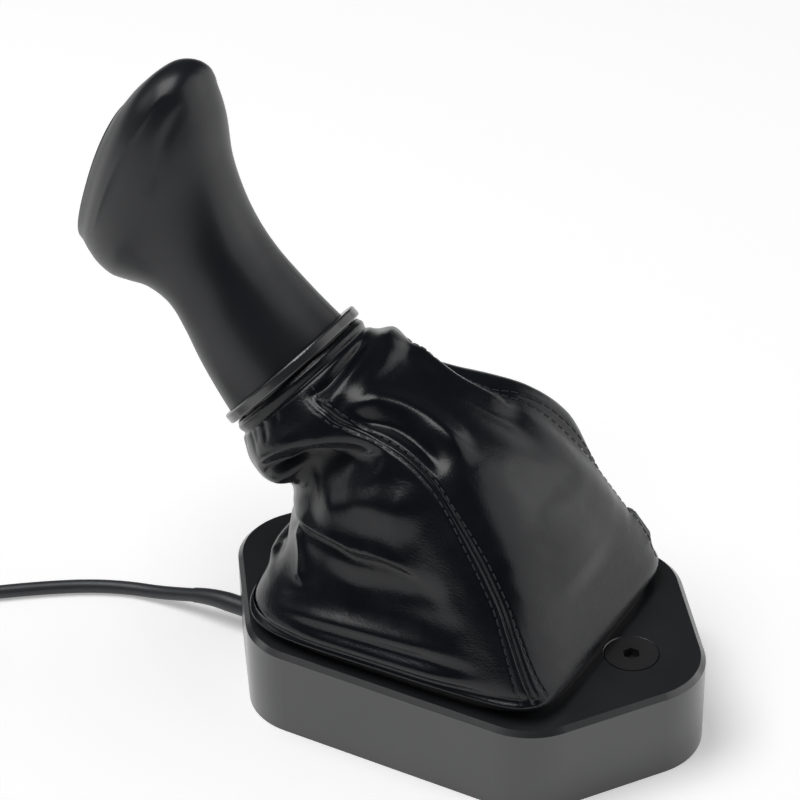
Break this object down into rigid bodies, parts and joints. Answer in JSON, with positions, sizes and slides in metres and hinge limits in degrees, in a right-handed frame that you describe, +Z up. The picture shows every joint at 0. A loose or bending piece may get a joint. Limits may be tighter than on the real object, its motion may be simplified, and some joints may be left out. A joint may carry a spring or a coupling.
{
  "type": "sim racing handbrake",
  "caption": "Handbrake controller with a hexagonal metal base, a leather boot and a sprung lever with a hooked grip, and a USB cable.",
  "frame": {"origin": "centre of the base's underside, where it stands on a table or a rig plate", "axes": "+Z up, +X along the base's long axis towards the side that the lever is pulled to, +Y across"},
  "size_m": [0.2967, 0.1914, 0.2031],
  "materials": {
    "black_anodised": "satin black anodised",
    "bare_aluminium": "machined",
    "black_steel": "blackened screws",
    "plain_steel": "ground",
    "spring_steel": "drawn wire",
    "magnet_nickel": "nickel plated",
    "brass": "turned",
    "bumper_rubber": "moulded",
    "roller_acetal": "turned acetal",
    "grip_plastic": "satin moulded",
    "frame_plastic": "moulded",
    "boot_leather": "semi-gloss grained",
    "hem_rubber": "elastic cord",
    "spacer_nylon": "moulded",
    "circuit_board": "solder resist",
    "chip_epoxy": "moulded",
    "connector_nylon": "moulded",
    "lead_jacket": "extruded",
    "cable_jacket": "satin jacket",
    "plug_overmould": "moulded",
    "plug_steel": "plated",
    "plug_tongue_plastic": "moulded"
  },
  "bodies": {
    "base": {"base_housing": "black_anodised", "bottom_plate": "black_anodised", "deck_screws": "black_steel", "plate_screws": "black_steel", "left_cheek": "bare_aluminium", "right_cheek": "bare_aluminium", "cheek_screws": "black_steel", "pivot_bearings": "plain_steel", "stop_bar": "plain_steel", "stop_sleeve": "bumper_rubber", "stop_screws": "black_steel", "guide_block": "bare_aluminium", "guide_bush": "brass", "guide_screws": "black_steel", "return_spring": "spring_steel", "end_bumper": "bumper_rubber", "boot_frame": "frame_plastic", "boot_frame_screws": "black_steel", "boot_rear_panel": "boot_leather", "boot_left_panel": "boot_leather", "boot_right_panel": "boot_leather", "sensor_spacers": "spacer_nylon", "sensor_board": "circuit_board", "sensor_screws": "plain_steel", "hall_sensor": "chip_epoxy", "sensor_socket": "connector_nylon", "controller_board": "circuit_board", "board_standoffs": "brass", "board_screws": "plain_steel", "controller_chip": "chip_epoxy", "board_sockets": "connector_nylon", "lead_grommet": "bumper_rubber", "sensor_lead": "lead_jacket", "strain_relief": "cable_jacket", "inner_cable": "cable_jacket", "usb_cable": "cable_jacket", "usb_coil": "cable_jacket", "plug_body": "plug_overmould", "plug_shell": "plug_steel", "plug_tongue": "plug_tongue_plastic", "plug_tail": "cable_jacket"},
    "lever": {"lever_hub": "bare_aluminium", "clamp_screws": "black_steel", "pivot_axle": "plain_steel", "sensor_magnet": "magnet_nickel", "axle_clips": "spring_steel", "lever_tube": "plain_steel", "roller_pin": "plain_steel", "boot_collar": "black_anodised", "lock_nut": "plain_steel", "hem_ring": "hem_rubber", "grip": "grip_plastic", "grip_insert": "brass"},
    "roller": {"roller": "roller_acetal"},
    "plunger": {"plunger_rod": "plain_steel", "preload_nut": "plain_steel"}
  },
  "joints": [
    {"name": "lever_pivot", "type": "hinge", "parent": "base", "child": "lever", "pos_m": [0, 0, 0.046], "axis": [0, 1, 0], "range_deg": [0, 20], "stiffness_Nm_per_rad": 15, "springref_deg": -11.46, "deforming": ["boot_rear_panel", "boot_left_panel", "boot_right_panel"]},
    {"name": "plunger_slide", "type": "slide", "parent": "base", "child": "plunger", "axis": [-1, 0, 0], "range_m": [0, 0.0105], "deforming": ["return_spring"]},
    {"name": "roller_spin", "type": "hinge", "parent": "lever", "child": "roller", "pos_m": [0.00521, 0, 0.01646], "axis": [0, 1, 0], "continuous": true}
  ],
  "couplings": [
    {"joint": "plunger_slide", "follows": "lever_pivot", "m_per_rad": 0.029848}
  ]
}
